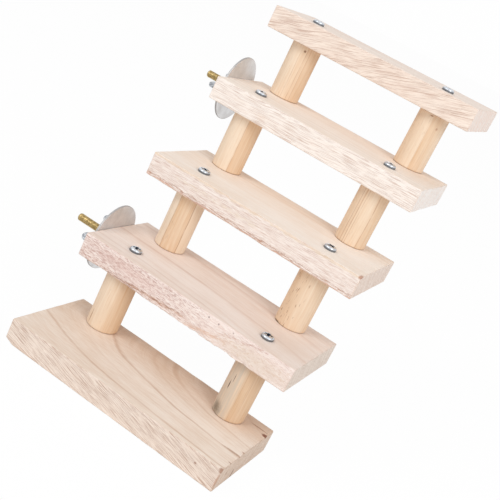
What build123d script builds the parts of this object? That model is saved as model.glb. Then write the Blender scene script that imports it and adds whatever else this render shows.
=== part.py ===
"""Small wooden climbing steps for a pet cage, in millimetres.

Five equal boards climb in even steps. A pair of round dowels stands at the back of each board and
carries the front of the board above. One pan-head screw comes down through the upper board and one
comes up through the lower board into every dowel. Two studs leave the left ends of the second and
fourth boards. Each carries two large washers and a wing nut, which pinch the wires of a cage wall.

The origin is the centre of the underside of the base board. +X runs along the boards to the right,
+Y goes back and up the steps, +Z is up. The steps are seen from -Y.
"""

from build123d import *
import os
from math import cos, radians, sin

os.makedirs("parts", exist_ok=True)

# Boards: sawn softwood, all cut to one size, with the sharp edges broken.
BOARD_LENGTH = 150.0
BOARD_DEPTH = 70.0
BOARD_THICK = 15.0
BOARD_EDGE_BREAK = 0.6
BOARD_COUNT = 5
# Sideways drift of each board, from the base up, as the hand assembly left it.
BOARD_DRIFT = [0.0, 0.7, 0.6, 0.0, -0.7]

# Dowels: round rod, standing between two boards.
DOWEL_DIAMETER = 20.6
DOWEL_HEIGHT = 38.2
DOWEL_END_BEVEL = 0.4
# Each pair's distances from the left and right ends of the base board to the dowel axes.
DOWEL_FROM_LEFT = [27.0, 29.0, 25.5, 25.5]
DOWEL_FROM_RIGHT = [26.0, 27.5, 28.0, 26.5]
# Distance of a dowel's axis from the back edge of the board it stands on, and from the front edge
# of the board it carries.
DOWEL_FROM_BACK = 15.5
DOWEL_FROM_FRONT = 16.0

# Pan-head cross-recess screws.
SCREW_HEAD_DIAMETER = 8.0
SCREW_HEAD_HEIGHT = 2.6
SCREW_HEAD_WALL = 1.1
SCREW_SHOULDER_DIAMETER = 6.8
SCREW_SHOULDER_HEIGHT = 2.2
SCREW_CROWN_DIAMETER = 4.8
SCREW_SHANK_DIAMETER = 3.6
SCREW_LENGTH = 30.0
SCREW_POINT = 5.0
RECESS_SPAN = 4.4
RECESS_WIDTH = 1.0
RECESS_DEPTH = 1.5
RECESS_TAPER = 12.0
# Play around the shank in a board and in the end of a dowel.
SCREW_HOLE_PLAY = 0.2
PILOT_PLAY = 0.05
# Counterbores that keep the heads under the base board clear of the floor.
SINK_PLAY = 0.6
SINK_BELOW_HEAD = 0.5

# Studs in the left ends of two boards, the lower one first: the board's number counted from the
# base, the distance set forward from the middle of the end face, and the length left standing out.
STUD_PLACES = ["lower", "upper"]
STUD_BOARDS = [1, 3]
STUD_FORWARD = [2.5, 0.0]
STUD_OUT = [27.0, 23.5]
STUD_DIAMETER = 5.0
STUD_END_BEVEL = 0.6
STUD_IN_BOARD = 25.0
STUD_HOLE_PLAY = 0.05

# Large flat washers, two on each stud.
WASHER_DIAMETER = 45.0
WASHER_THICK = 0.6
WASHER_PLAY = 0.2
WASHER_EDGE_BREAK = 0.15

# Wing nut: a tapered hub with two flared wings.
HUB_BASE_DIAMETER = 10.0
HUB_TOP_DIAMETER = 8.4
HUB_HEIGHT = 5.2
HUB_EDGE_BREAK = 0.4
WING_SPAN = 26.0
WING_HEIGHT = 14.0
WING_THICK = 2.2
WING_EDGE_BREAK = 0.4
WING_TIP_RADIUS = 3.0
# Where the wing's edges start inside the hub, and the knuckle that its edges pass through.
WING_ROOT_SINK = 1.2
WING_ROOT_RISE = 0.8
WING_FLANK_INSET = 3.6
WING_FLANK_RISE = 5.2
WING_SADDLE_OUT = 1.1
WING_SADDLE_RISE = 0.6
NUT_PLAY = 0.05
# Turn of the wings from level, seen from the free end, on the lower and the upper stud.
WING_TURN = [33.0, 21.0]

# Values that follow from the sizes above.
RISE = BOARD_THICK + DOWEL_HEIGHT
RUN = BOARD_DEPTH - DOWEL_FROM_BACK - DOWEL_FROM_FRONT
SINK_DEPTH = SCREW_HEAD_HEIGHT + SINK_BELOW_HEAD
WASHER_STACK = 2 * WASHER_THICK


def underside(board):
    """Height of the underside of a board."""
    return board * RISE


def dowel_points(board):
    """Axes of the left and right dowels that stand on a board."""
    y = board * RUN + BOARD_DEPTH / 2 - DOWEL_FROM_BACK
    left = DOWEL_FROM_LEFT[board] - BOARD_LENGTH / 2
    right = BOARD_LENGTH / 2 - DOWEL_FROM_RIGHT[board]
    return [(left, y), (right, y)]


def stud_plane(stud, away=0.0):
    """Plane across a stud, facing out along it, at a distance from the board's left end face."""
    board = STUD_BOARDS[stud]
    x = BOARD_DRIFT[board] - BOARD_LENGTH / 2 - away
    y = board * RUN - STUD_FORWARD[stud]
    z = underside(board) + BOARD_THICK / 2
    return Plane(origin=(x, y, z), x_dir=(0, 1, 0), z_dir=(-1, 0, 0))


def screw_solid(seat, out):
    """Screw with its head seated on a face at `seat`, the head pointing `out` (+1 up, -1 down)."""
    profile_plane = Plane(origin=seat, x_dir=(1, 0, 0), z_dir=(0, -out, 0))
    crown_plane = Plane(origin=seat + Vector(0, 0, out * SCREW_HEAD_HEIGHT), z_dir=(0, 0, out))
    with BuildPart() as screw:
        with BuildSketch(profile_plane):
            with BuildLine():
                Polyline(
                    (0, SCREW_HEAD_HEIGHT),
                    (SCREW_CROWN_DIAMETER / 2, SCREW_HEAD_HEIGHT),
                    (SCREW_SHOULDER_DIAMETER / 2, SCREW_SHOULDER_HEIGHT),
                    (SCREW_HEAD_DIAMETER / 2, SCREW_HEAD_WALL),
                    (SCREW_HEAD_DIAMETER / 2, 0),
                    (SCREW_SHANK_DIAMETER / 2, 0),
                    (SCREW_SHANK_DIAMETER / 2, SCREW_POINT - SCREW_LENGTH),
                    (0, -SCREW_LENGTH),
                    close=True,
                )
            make_face()
        revolve(axis=Axis(seat, (0, 0, 1)))
        with BuildSketch(crown_plane):
            Rectangle(RECESS_SPAN, RECESS_WIDTH)
            Rectangle(RECESS_WIDTH, RECESS_SPAN)
        extrude(amount=-RECESS_DEPTH, taper=RECESS_TAPER, mode=Mode.SUBTRACT)
    return screw


# Boards, with holes for the screws of the dowels that stand on them and hang under them.
for board in range(BOARD_COUNT):
    name = "base_board" if board == 0 else f"tread_{board}"
    bottom_plane = Plane.XY.offset(underside(board))
    standing = dowel_points(board) if board < BOARD_COUNT - 1 else []
    hanging = dowel_points(board - 1) if board > 0 else []
    with BuildPart() as plank:
        with BuildSketch(bottom_plane):
            with Locations((BOARD_DRIFT[board], board * RUN)):
                Rectangle(BOARD_LENGTH, BOARD_DEPTH)
        extrude(amount=BOARD_THICK)
        chamfer(plank.edges(), BOARD_EDGE_BREAK)
        with BuildSketch(bottom_plane):
            with Locations(*standing, *hanging):
                Circle(SCREW_SHANK_DIAMETER / 2 + SCREW_HOLE_PLAY)
        extrude(amount=BOARD_THICK, mode=Mode.SUBTRACT)
        if board == 0:
            with BuildSketch(bottom_plane):
                with Locations(*standing):
                    Circle(SCREW_HEAD_DIAMETER / 2 + SINK_PLAY)
            extrude(amount=SINK_DEPTH, mode=Mode.SUBTRACT)
        if board in STUD_BOARDS:
            with BuildSketch(stud_plane(STUD_BOARDS.index(board))):
                Circle(STUD_DIAMETER / 2 + STUD_HOLE_PLAY)
            extrude(amount=-STUD_IN_BOARD, mode=Mode.SUBTRACT)
    plank.part.label = name
    export_step(plank.part, f"parts/{name}.step")

# Dowels, bored at both ends, and the two screws of each. The base board's screws sit deeper.
for board in range(BOARD_COUNT - 1):
    foot = underside(board) + BOARD_THICK
    sink = SINK_DEPTH if board == 0 else 0.0
    bite = SCREW_LENGTH - BOARD_THICK
    for side, point in zip(["left", "right"], dowel_points(board)):
        with BuildPart() as dowel:
            with BuildSketch(Plane.XY.offset(foot)):
                with Locations(point):
                    Circle(DOWEL_DIAMETER / 2)
            extrude(amount=DOWEL_HEIGHT)
            chamfer(dowel.edges().filter_by(GeomType.CIRCLE), DOWEL_END_BEVEL)
            with BuildSketch(Plane.XY.offset(foot)):
                with Locations(point):
                    Circle(SCREW_SHANK_DIAMETER / 2 + PILOT_PLAY)
            extrude(amount=bite + sink, mode=Mode.SUBTRACT)
            with BuildSketch(Plane.XY.offset(foot + DOWEL_HEIGHT)):
                with Locations(point):
                    Circle(SCREW_SHANK_DIAMETER / 2 + PILOT_PLAY)
            extrude(amount=-bite, mode=Mode.SUBTRACT)
        dowel.part.label = f"dowel_{board + 1}_{side}"
        export_step(dowel.part, f"parts/{dowel.part.label}.step")

        top_screw = screw_solid(Vector(*point, underside(board + 1) + BOARD_THICK), 1)
        top_screw.part.label = f"top_screw_{board + 1}_{side}"
        export_step(top_screw.part, f"parts/{top_screw.part.label}.step")

        under_screw = screw_solid(Vector(*point, underside(board) + sink), -1)
        under_screw.part.label = f"under_screw_{board + 1}_{side}"
        export_step(under_screw.part, f"parts/{under_screw.part.label}.step")

# Studs, washers and wing nuts at the two left ends.
for stud, place in enumerate(STUD_PLACES):
    with BuildPart() as rod:
        with BuildSketch(stud_plane(stud, -STUD_IN_BOARD)):
            Circle(STUD_DIAMETER / 2)
        extrude(amount=STUD_IN_BOARD + STUD_OUT[stud])
        chamfer(rod.edges().filter_by(GeomType.CIRCLE), STUD_END_BEVEL)
    rod.part.label = f"stud_{place}"
    export_step(rod.part, f"parts/{rod.part.label}.step")

    for layer, role in enumerate(["inner", "outer"]):
        with BuildPart() as washer:
            with BuildSketch(stud_plane(stud, layer * WASHER_THICK)):
                Circle(WASHER_DIAMETER / 2)
                Circle(STUD_DIAMETER / 2 + WASHER_PLAY, mode=Mode.SUBTRACT)
            extrude(amount=WASHER_THICK)
            rims = washer.edges().filter_by(GeomType.CIRCLE).group_by(SortBy.RADIUS)[-1]
            chamfer(rims.sort_by(Axis.X)[0], WASHER_EDGE_BREAK)
        washer.part.label = f"{role}_washer_{place}"
        export_step(washer.part, f"parts/{washer.part.label}.step")

    # The wing outline lies in a plane through the stud's axis, with its second axis pointing out.
    turn = radians(WING_TURN[stud])
    seat_plane = stud_plane(stud, WASHER_STACK)
    wing_plane = Plane(
        origin=seat_plane.origin,
        x_dir=(0, cos(turn), sin(turn)),
        z_dir=(0, -sin(turn), cos(turn)),
    )
    hub_base = HUB_BASE_DIAMETER / 2
    hub_top = HUB_TOP_DIAMETER / 2
    half_span = WING_SPAN / 2
    tip = (half_span - WING_TIP_RADIUS, WING_HEIGHT - WING_TIP_RADIUS)
    with BuildPart() as nut:
        with BuildSketch(wing_plane):
            with BuildLine():
                lower_edge = Spline(
                    (hub_base - WING_ROOT_SINK, WING_ROOT_RISE),
                    (half_span - WING_FLANK_INSET, WING_FLANK_RISE),
                    (half_span, tip[1]),
                    tangents=[(1, 0.25), (0, 1)],
                )
                tip_arc = CenterArc(tip, WING_TIP_RADIUS, 0, 150)
                upper_edge = Spline(
                    tip_arc @ 1,
                    (hub_top + WING_SADDLE_OUT, HUB_HEIGHT + WING_SADDLE_RISE),
                    (hub_top - WING_ROOT_SINK, HUB_HEIGHT - WING_SADDLE_RISE),
                    tangents=[tip_arc % 1, (-1, 0)],
                )
                Line(upper_edge @ 1, lower_edge @ 0)
            make_face()
            mirror(about=Plane.YZ)
        extrude(amount=WING_THICK / 2, both=True)
        chamfer(nut.faces().filter_by(wing_plane).edges(), WING_EDGE_BREAK)
        with BuildSketch(wing_plane):
            with BuildLine():
                Polyline(
                    (0, 0),
                    (hub_base - HUB_EDGE_BREAK, 0),
                    (hub_base, HUB_EDGE_BREAK),
                    (hub_top, HUB_HEIGHT - HUB_EDGE_BREAK),
                    (hub_top - HUB_EDGE_BREAK, HUB_HEIGHT),
                    (0, HUB_HEIGHT),
                    close=True,
                )
            make_face()
        revolve(axis=Axis(seat_plane.origin, (-1, 0, 0)))
        with BuildSketch(seat_plane):
            Circle(STUD_DIAMETER / 2 + NUT_PLAY)
        extrude(amount=WING_HEIGHT, mode=Mode.SUBTRACT)
    nut.part.label = f"wing_nut_{place}"
    export_step(nut.part, f"parts/{nut.part.label}.step")
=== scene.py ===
"""Wooden climbing steps for a small pet's wire cage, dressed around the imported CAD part.

Places are in the row frame. The origin is the centre of the base board's underside, +X runs along
the boards, +Y goes back and up the steps, +Z is up, and the steps are seen from -Y. Shapes are
worked out in millimetres and become metres when a mesh is made. Every place comes from the box of
the CAD node that a piece stands for.
"""

import logging
import math
from collections.abc import Callable, Mapping, Sequence
from dataclasses import dataclass
from enum import Enum
from typing import Any, Union

import bmesh
import bpy
import numpy as np
from mathutils import Matrix, Vector, noise


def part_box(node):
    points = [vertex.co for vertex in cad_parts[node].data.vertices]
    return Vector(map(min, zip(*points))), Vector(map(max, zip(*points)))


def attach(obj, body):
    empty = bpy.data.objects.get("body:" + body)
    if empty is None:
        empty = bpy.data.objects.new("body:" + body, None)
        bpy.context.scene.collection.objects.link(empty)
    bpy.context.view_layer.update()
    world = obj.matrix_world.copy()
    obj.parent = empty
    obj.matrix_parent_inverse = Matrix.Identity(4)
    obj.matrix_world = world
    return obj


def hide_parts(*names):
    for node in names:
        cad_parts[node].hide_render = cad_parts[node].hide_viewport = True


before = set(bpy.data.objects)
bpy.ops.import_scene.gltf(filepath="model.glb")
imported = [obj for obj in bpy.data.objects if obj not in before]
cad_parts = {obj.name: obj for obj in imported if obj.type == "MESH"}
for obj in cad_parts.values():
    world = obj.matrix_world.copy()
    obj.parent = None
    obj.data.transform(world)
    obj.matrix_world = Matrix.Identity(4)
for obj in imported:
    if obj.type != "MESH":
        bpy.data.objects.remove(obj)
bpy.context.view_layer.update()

MM = 0.001
HALF_BOARD = 75.0  # mm; a board's growth lines start to lean at its left end
LOG = logging.getLogger("climbing_steps")

Colour = tuple[float, float, float, float]
Point = tuple[float, float, float]
Line = tuple[float, float, float]
Value = Union[float, "Wire"]
Place = tuple["Wire", "Wire", "Wire"]
Faces = list[list[int]]


def srgb(red: float, green: float, blue: float) -> Colour:
    """Turns a colour written as screen values into the linear colour of a shader socket.

    Args:
        red: red, 0 to 255.
        green: green, 0 to 255.
        blue: blue, 0 to 255.

    Returns:
        The linear colour, with full alpha.
    """

    def linear(level: float) -> float:
        """Undoes the screen curve for one channel."""
        share = level / 255.0
        return share / 12.92 if share <= 0.04045 else ((share + 0.055) / 1.055) ** 2.4

    return (linear(red), linear(green), linear(blue), 1.0)


WHITE = (1.0, 1.0, 1.0, 1.0)
PALE_FIBRE = srgb(255, 247, 240)
TAN_CURL = srgb(222, 190, 162)
RESIN_FLECK = srgb(150, 102, 64)
OLD_DUST = srgb(212, 198, 182)
FOOT_SHADE = srgb(128, 84, 54)
TORN_BROWN = srgb(182, 126, 94)
TORN_RED = srgb(212, 152, 122)

# --- Shader maths ---


class Wire:
    """One output socket, written in Python expressions that add Math nodes."""

    def __init__(self, graph: "Graph", socket: bpy.types.NodeSocket) -> None:
        """Keeps the socket and the graph it belongs to."""
        self.graph = graph
        self.socket = socket

    def side(self, name: Union[str, int]) -> "Wire":
        """Another output of the same node."""
        return Wire(self.graph, self.socket.node.outputs[name])

    def __add__(self, other: Value) -> "Wire":
        """self + other."""
        return self.graph.math("ADD", self, other)

    def __radd__(self, other: Value) -> "Wire":
        """other + self."""
        return self.graph.math("ADD", other, self)

    def __sub__(self, other: Value) -> "Wire":
        """self - other."""
        return self.graph.math("SUBTRACT", self, other)

    def __rsub__(self, other: Value) -> "Wire":
        """other - self."""
        return self.graph.math("SUBTRACT", other, self)

    def __mul__(self, other: Value) -> "Wire":
        """self * other."""
        return self.graph.math("MULTIPLY", self, other)

    def __rmul__(self, other: Value) -> "Wire":
        """other * self."""
        return self.graph.math("MULTIPLY", other, self)

    def __truediv__(self, other: Value) -> "Wire":
        """self / other."""
        return self.graph.math("DIVIDE", self, other)

    def __abs__(self) -> "Wire":
        """abs(self)."""
        return self.graph.math("ABSOLUTE", self)

    def root(self) -> "Wire":
        """Square root."""
        return self.graph.math("SQRT", self)

    def at_least(self, other: Value) -> "Wire":
        """The greater of the two."""
        return self.graph.math("MAXIMUM", self, other)

    def at_most(self, other: Value) -> "Wire":
        """The smaller of the two."""
        return self.graph.math("MINIMUM", self, other)

    def smooth(self, low: float, high: float) -> "Wire":
        """Rises softly from 0 at low to 1 at high, or falls where low is the greater.

        Args:
            low: the value that gives 0.
            high: the value that gives 1.

        Returns:
            A mask from 0 to 1.
        """
        ends = {0: self, 1: min(low, high), 2: max(low, high), 3: 0.0, 4: 1.0}
        if low > high:
            ends.update({3: 1.0, 4: 0.0})
        settings = {"interpolation_type": "SMOOTHSTEP"}
        return self.graph.node("ShaderNodeMapRange", settings, ends)


class Graph:
    """The node tree of one material or world, with one method that makes every node."""

    def __init__(self, owner: Union[bpy.types.Material, bpy.types.World]) -> None:
        """Empties the owner's node tree."""
        owner.use_nodes = True
        self.tree = owner.node_tree
        self.tree.nodes.clear()

    def node(
        self,
        kind: str,
        settings: Mapping[str, Any] = {},
        sockets: Mapping[Union[str, int], Any] = {},
        out: Union[str, int] = 0,
    ) -> Wire:
        """Adds one node.

        Args:
            kind: Blender's node type.
            settings: the node's own settings, set first; "stops" fills a colour ramp.
            sockets: a value or a wire for each input, by name or number.
            out: the output that the wire stands for.

        Returns:
            The wire of that output.
        """
        made = self.tree.nodes.new(kind)
        for key, value in settings.items():
            if key == "stops":
                self.fill_ramp(made.color_ramp, value)
            else:
                setattr(made, key, value)
        for key, value in sockets.items():
            if isinstance(value, Wire):
                self.tree.links.new(value.socket, made.inputs[key])
            else:
                made.inputs[key].default_value = value
        return Wire(self, made.outputs[out] if len(made.outputs) else made.inputs[0])

    @staticmethod
    def fill_ramp(ramp: bpy.types.ColorRamp, stops: Sequence[tuple[float, Colour]]) -> None:
        """Gives a ramp its stops.

        Args:
            ramp: the node's colour ramp.
            stops: a place from 0 to 1 and a colour for each stop, in order.
        """
        ramp.elements[0].position, ramp.elements[0].color = stops[0]
        ramp.elements[1].position, ramp.elements[1].color = stops[-1]
        for place, colour in stops[1:-1]:
            ramp.elements.new(place).color = colour

    def math(self, operation: str, *values: Value) -> Wire:
        """Adds a Math node with these inputs."""
        return self.node("ShaderNodeMath", {"operation": operation}, dict(enumerate(values)))

    def mix(self, share: Value, first: Any, second: Any) -> Wire:
        """Mixes two colours.

        Args:
            share: how much of the second, 0 to 1.
            first: a colour or its wire.
            second: a colour or its wire.

        Returns:
            The mixed colour.
        """
        inputs = {0: share, 6: first, 7: second}
        return self.node("ShaderNodeMix", {"data_type": "RGBA"}, inputs, 2)

    def ramp(self, stops: Sequence[tuple[float, Colour]], share: Wire) -> Wire:
        """The grey that a ramp with these stops gives at a share from 0 to 1."""
        drawn = self.node("ShaderNodeValToRGB", {"stops": stops}, {0: share})
        return self.node("ShaderNodeRGBToBW", {}, {0: drawn})

    def split(self, vector: Wire) -> Place:
        """The three values of a vector."""
        x = self.node("ShaderNodeSeparateXYZ", {}, {0: vector})
        return x, x.side(1), x.side(2)

    def vector(self, x: Value, y: Value, z: Value) -> Wire:
        """Joins three values into a vector."""
        return self.node("ShaderNodeCombineXYZ", {}, {0: x, 1: y, 2: z})

    def place(self, centre: Sequence[float]) -> Place:
        """The shaded point's place in the row frame, in millimetres from a centre.

        Args:
            centre: the centre, in millimetres.

        Returns:
            Wires for x, y and z.
        """
        point = self.node("ShaderNodeTexCoord", out="Object")
        shift = tuple(-value for value in centre)
        scaled = self.node(
            "ShaderNodeVectorMath",
            {"operation": "MULTIPLY_ADD"},
            {0: point, 1: (1 / MM, 1 / MM, 1 / MM), 2: shift},
        )
        return self.split(scaled)

    def facing(self) -> Place:
        """The surface's own direction in the row frame, as wires for x, y and z."""
        return self.split(self.node("ShaderNodeTexCoord", out="Normal"))

    def from_axis(self, centre: Sequence[float]) -> Wire:
        """The shaded point's distance in millimetres from an axis along X."""
        _, y, z = self.place(centre)
        return (y * y + z * z).root()

    def noise(
        self, x: Value, y: Value, z: Value, detail: float = 2.0, rough: float = 0.5
    ) -> Wire:
        """Smooth noise about 0.5 at a point that is already scaled.

        Args:
            x: first coordinate.
            y: second coordinate.
            z: third coordinate.
            detail: octaves of finer noise.
            rough: strength of the finer noise.

        Returns:
            The noise value.
        """
        inputs = {"Vector": self.vector(x, y, z), "Scale": 1.0}
        inputs.update({"Detail": detail, "Roughness": rough})
        return self.node("ShaderNodeTexNoise", {}, inputs)

    def bump(self, height: Wire, depth_mm: float, strength: float = 1.0) -> Wire:
        """Turns a height into a bent normal.

        Args:
            height: the height, 0 to 1.
            depth_mm: what a height of 1 measures.
            strength: how strongly the normal bends.

        Returns:
            The normal.
        """
        inputs = {"Strength": strength, "Distance": depth_mm * MM, "Height": height}
        return self.node("ShaderNodeBump", {}, inputs)

    def surface(self, shader: Wire) -> None:
        """Ends the material with this shader."""
        self.node("ShaderNodeOutputMaterial", {}, {"Surface": shader})


def new_material(name: str) -> tuple[bpy.types.Material, Graph]:
    """Makes an empty material and its graph."""
    made = bpy.data.materials.new(name)
    return made, Graph(made)


# --- Wood finishes ---


def grey(level: float) -> Colour:
    """A grey of a ramp."""
    return (level, level, level, 1.0)


def line_stops(lines: Sequence[Line], low: float, high: float) -> list[tuple[float, Colour]]:
    """Ramp stops that rise at each growth line, softly before it and steeply after it.

    Args:
        lines: place, width and darkness of each line, mm.
        low: place at the ramp's start, mm.
        high: place at the ramp's end, mm.

    Returns:
        The stops in order.
    """
    stops = [(0.0, grey(0.0))]
    for distance, width, dark in sorted(lines):
        middle = (distance - low) / (high - low)
        half = width / (high - low) / 2
        for place, level in ((middle - half, 0.0), (middle, dark), (middle + half * 0.6, 0.0)):
            stops.append((min(max(place, 0.001), 0.999), grey(level)))
    stops.append((1.0, grey(0.0)))
    return stops


@dataclass(frozen=True)
class Growth:
    """Growth rings of a board as distances from a slanting heart, in mm from the board's centre.

    A board sawn near the heart of the log has its pith behind it, at pith_y and a depth that
    falls along the board. A board sawn far from it has nearly straight lines: they lean by slope,
    curve by bow and shift with height by tilt.
    """

    pith_y: float = 0.0
    depth: float = 0.0
    fall: float = 0.0
    lean: float = 0.0
    dip: float = 0.0
    slope: float = 0.0
    bow: float = 0.0
    tilt: float = 0.3

    def rings(self, x: Wire, y: Wire, z: Wire) -> Wire:
        """Distance that is constant along each growth line.

        Args:
            x: place along the board.
            y: place across the board.
            z: height above the middle of the board.

        Returns:
            The distance in millimetres.
        """
        if self.depth:
            deep = self.depth - self.fall * x + self.lean * y + self.dip * z
            across = self.pith_y - y
            return (across * across + deep * deep).root()
        start = x + HALF_BOARD
        return y + self.slope * start + self.bow * start * start + self.tilt * z


@dataclass(frozen=True)
class Scar:
    """A ragged darker line on a board's front face, in mm from the board's centre."""

    x_from: float
    x_to: float
    z_from: float
    z_to: float
    width: float
    colour: Colour
    strength: float
    patchy: float = 0.5


@dataclass(frozen=True)
class Stain:
    """A soft-edged spot, in mm from the centre of the piece."""

    centre: Point
    radii: Point
    colour: Colour
    strength: float
    edge: float = 0.4


@dataclass(frozen=True, kw_only=True)
class Wood:
    """What boards and dowels share: their stains and the closing shader."""

    seed: float
    stains: tuple[Stain, ...] = ()

    def spot(self, graph: Graph, place: Place, stain: Stain) -> Wire:
        """Mask of one stain.

        Args:
            graph: the material's graph.
            place: the point in millimetres.
            stain: the spot.

        Returns:
            A mask from 0 to 1, with a ragged edge.
        """
        x, y, z = place
        shares = [
            (axis - middle) / radius
            for axis, middle, radius in zip(place, stain.centre, stain.radii)
        ]
        squared = shares[0] * shares[0] + shares[1] * shares[1] + shares[2] * shares[2]
        ragged = squared.root() + (graph.noise(x * 0.9, y * 0.9, z * 0.9 + self.seed) - 0.5) * 0.5
        return ragged.smooth(1.0, stain.edge) * stain.strength

    def stained(self, graph: Graph, place: Place, colour: Wire) -> Wire:
        """Lays the stains over a colour.

        Args:
            graph: the material's graph.
            place: the point in millimetres.
            colour: the colour under them.

        Returns:
            The stained colour.
        """
        for stain in self.stains:
            colour = graph.mix(self.spot(graph, place, stain), colour, stain.colour)
        return colour

    def shader(self, graph: Graph, colour: Wire, rough: Wire, normal: Wire) -> Wire:
        """The plain unfinished wood surface.

        Args:
            graph: the material's graph.
            colour: base colour.
            rough: roughness.
            normal: bent normal.

        Returns:
            The shader.
        """
        inputs = {"Base Color": colour, "Roughness": rough, "Normal": normal}
        inputs.update({"IOR": 1.45, "Specular IOR Level": 0.28})
        return graph.node("ShaderNodeBsdfPrincipled", {}, inputs)


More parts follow.
